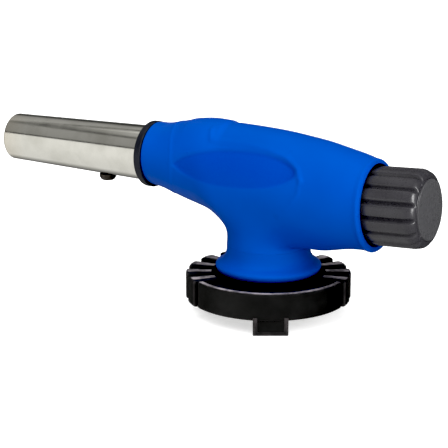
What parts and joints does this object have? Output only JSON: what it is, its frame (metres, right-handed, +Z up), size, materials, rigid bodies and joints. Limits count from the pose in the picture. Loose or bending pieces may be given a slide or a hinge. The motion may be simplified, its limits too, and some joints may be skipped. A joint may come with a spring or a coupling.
{
  "type": "gas torch head",
  "caption": "Hand-held blow torch head with a steel burner tube, a moulded pistol-like housing, a rear control knob and a bayonet lock ring for a gas cartridge.",
  "frame": {"origin": "on the axis of the base, level with the underside of the lock ring, where the gas cartridge is mounted", "axes": "+Z up along the base axis, away from the cartridge; -X along the burner tube towards the flame; +X towards the control knob; +Y to the left when the flame points away from the user"},
  "size_m": [0.1535, 0.0514, 0.0594],
  "materials": {
    "blue_plastic": "satin moulded ABS",
    "black_plastic": "moulded nylon",
    "grey_plastic": "satin moulded",
    "natural_plastic": "moulded acetal",
    "polished_steel": "polished stainless",
    "zinc_steel": "zinc plated",
    "dark_steel": "blackened",
    "brass": "turned",
    "ceramic": "glazed",
    "rubber": "matt"
  },
  "bodies": {
    "torch_body": {"housing_left": "blue_plastic", "housing_right": "blue_plastic", "housing_screw_1": "zinc_steel", "housing_screw_2": "zinc_steel", "housing_screw_3": "zinc_steel", "housing_screw_4": "zinc_steel", "front_collar": "black_plastic", "burner_tube": "polished_steel", "barrel_screw": "dark_steel", "flame_holder": "brass", "mixing_tube": "brass", "gas_jet": "brass", "gas_tube": "brass", "electrode_insulator": "ceramic", "electrode_wire": "zinc_steel", "ignition_lead": "black_plastic", "contact_ring": "brass", "valve_body": "brass", "packing_nut": "brass", "rear_bush": "black_plastic", "inlet_stem": "brass", "inlet_seal": "rubber", "stem_nut": "brass", "base_hub": "black_plastic", "base_flange": "blue_plastic"},
    "lock_ring_group": {"lock_ring": "black_plastic", "claw_plate": "zinc_steel", "claw_screw_1": "zinc_steel", "claw_screw_2": "zinc_steel", "claw_screw_3": "zinc_steel"},
    "dial_group": {"flow_dial": "natural_plastic", "piezo_body": "black_plastic", "return_spring": "zinc_steel"},
    "knob_group": {"control_knob": "grey_plastic", "piezo_plunger": "natural_plastic"},
    "spindle_group": {"valve_spindle": "zinc_steel", "spindle_o_ring": "rubber"}
  },
  "joints": [
    {"name": "lock_ring_turn", "type": "hinge", "parent": "torch_body", "child": "lock_ring_group", "pos_m": [0, 0, 0], "axis": [0, 0, 1], "range_deg": [0, 35]},
    {"name": "knob_turn", "type": "hinge", "parent": "torch_body", "child": "dial_group", "pos_m": [0.0377, 0, 0.0343], "axis": [0.9986, 0, 0.0523], "range_deg": [0, 450]},
    {"name": "needle_advance", "type": "slide", "parent": "dial_group", "child": "spindle_group", "axis": [0.9986, 0, 0.0523], "range_m": [0, 0.00101]},
    {"name": "knob_press", "type": "slide", "parent": "dial_group", "child": "knob_group", "axis": [-0.9986, 0, -0.0523], "range_m": [0, 0.004], "stiffness_N_per_m": 1500, "springref_m": -0.003, "deforming": ["return_spring"]}
  ],
  "couplings": [
    {"joint": "needle_advance", "follows": "knob_turn", "m_per_rad": 0.0001273}
  ]
}
